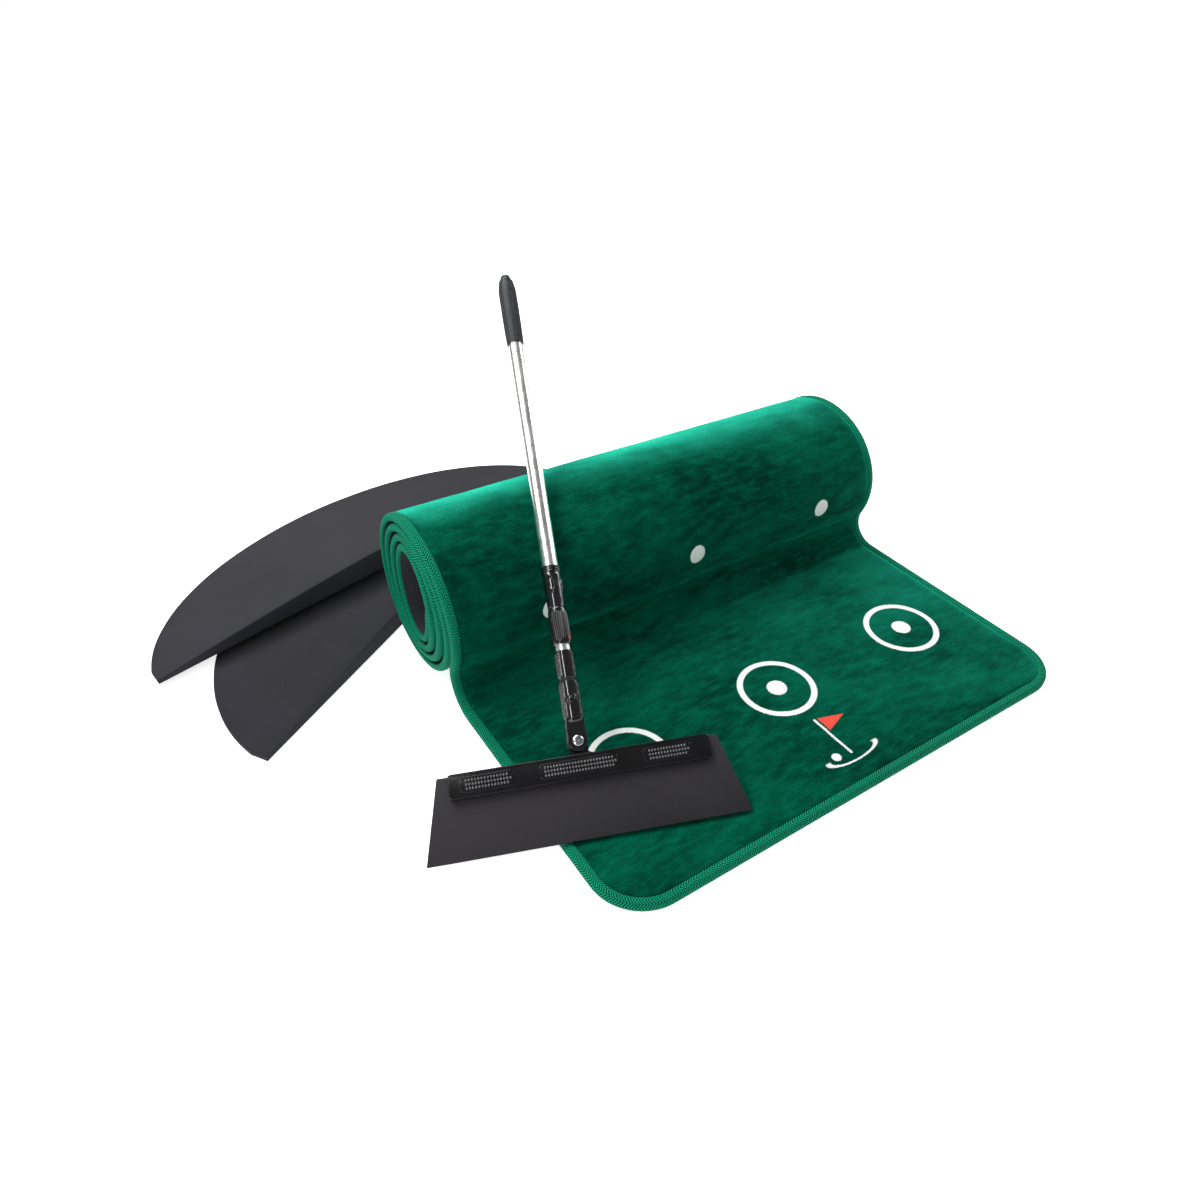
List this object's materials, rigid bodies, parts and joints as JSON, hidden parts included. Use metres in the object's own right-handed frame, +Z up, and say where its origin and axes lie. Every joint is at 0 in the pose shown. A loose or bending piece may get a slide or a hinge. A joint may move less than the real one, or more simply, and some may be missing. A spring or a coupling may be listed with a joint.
{
  "type": "practice putting mat",
  "caption": "Practice putting mat, partly rolled up, with golf-hole circles printed on its green pile, foam slope wedges and a telescopic smoothing rake leaning on the roll.",
  "frame": {"origin": "on the floor, under the middle of the flat tongue of the mat", "axes": "+X across the mat to the right, +Y along the mat from its front edge to the roll, +Z up"},
  "size_m": [1.0721, 0.949, 0.4241],
  "materials": {
    "pile": "matte",
    "tape": "matte",
    "backing": "matte",
    "foam": "matte",
    "blade": "satin",
    "black_plastic": "gloss",
    "black_rubber": "matte",
    "nylon": "satin",
    "zinc_steel": "satin",
    "chrome": "polished",
    "red_mark": "gloss"
  },
  "bodies": {
    "mat": {"backing_layer": "backing", "turf_pile": "pile", "edge_binding": "tape"},
    "wedge_lower": {"foam_wedge_lower": "foam"},
    "wedge_upper": {"foam_wedge_upper": "foam"},
    "rake_head": {"rake_blade": "blade", "carrier_front": "black_plastic", "carrier_back": "black_plastic", "carrier_screw_1": "zinc_steel", "carrier_screw_2": "zinc_steel", "carrier_screw_3": "zinc_steel", "carrier_screw_4": "zinc_steel", "carrier_screw_5": "zinc_steel", "carrier_screw_6": "zinc_steel", "pivot_tongue": "black_plastic", "pivot_screw": "chrome", "pivot_nut": "zinc_steel", "pivot_washer_front": "nylon", "pivot_washer_back": "nylon"},
    "pole_lower": {"head_clevis": "black_plastic", "tube_ferrule": "black_plastic", "groove_ring": "black_rubber", "button_spring": "zinc_steel", "inner_tube": "chrome", "tube_plug": "black_plastic"},
    "snap_button": {"snap_button": "black_plastic"},
    "pole_upper": {"outer_tube": "chrome", "taper_nozzle": "black_plastic", "collar_ring": "black_plastic", "grip_sleeve": "black_rubber", "grip_cap": "black_rubber"},
    "lock_knob": {"lock_knob": "black_plastic", "lock_collet": "nylon", "lock_mark": "red_mark"}
  },
  "joints": [
    {"name": "wedge_lower_slide", "type": "slide", "parent": "mat", "child": "wedge_lower", "axis": [-1, 0, 0], "range_m": [0, 0.3]},
    {"name": "wedge_upper_lift", "type": "slide", "parent": "wedge_lower", "child": "wedge_upper", "axis": [0, 0, 1], "range_m": [0, 0.15]},
    {"name": "rake_lift", "type": "slide", "parent": "mat", "child": "rake_head", "axis": [0, 0, 1], "range_m": [0, 0.3]},
    {"name": "head_pivot", "type": "hinge", "parent": "rake_head", "child": "pole_lower", "pos_m": [-0.30345, 0.01779, 0.06863], "axis": [0.1727, 0.4693, -0.866], "range_deg": [0, 80]},
    {"name": "pole_telescope", "type": "slide", "parent": "pole_lower", "child": "pole_upper", "axis": [0.3227, 0.8038, 0.4999], "range_m": [0, 0.3]},
    {"name": "lock_twist", "type": "hinge", "parent": "pole_upper", "child": "lock_knob", "pos_m": [-0.26431, 0.11528, 0.12927], "axis": [0.3227, 0.8038, 0.4999], "range_deg": [0, 90]},
    {"name": "button_press", "type": "slide", "parent": "pole_lower", "child": "snap_button", "axis": [0.1727, 0.4693, -0.866], "range_m": [0, 0.003], "stiffness_N_per_m": 400, "springref_m": -0.002}
  ]
}
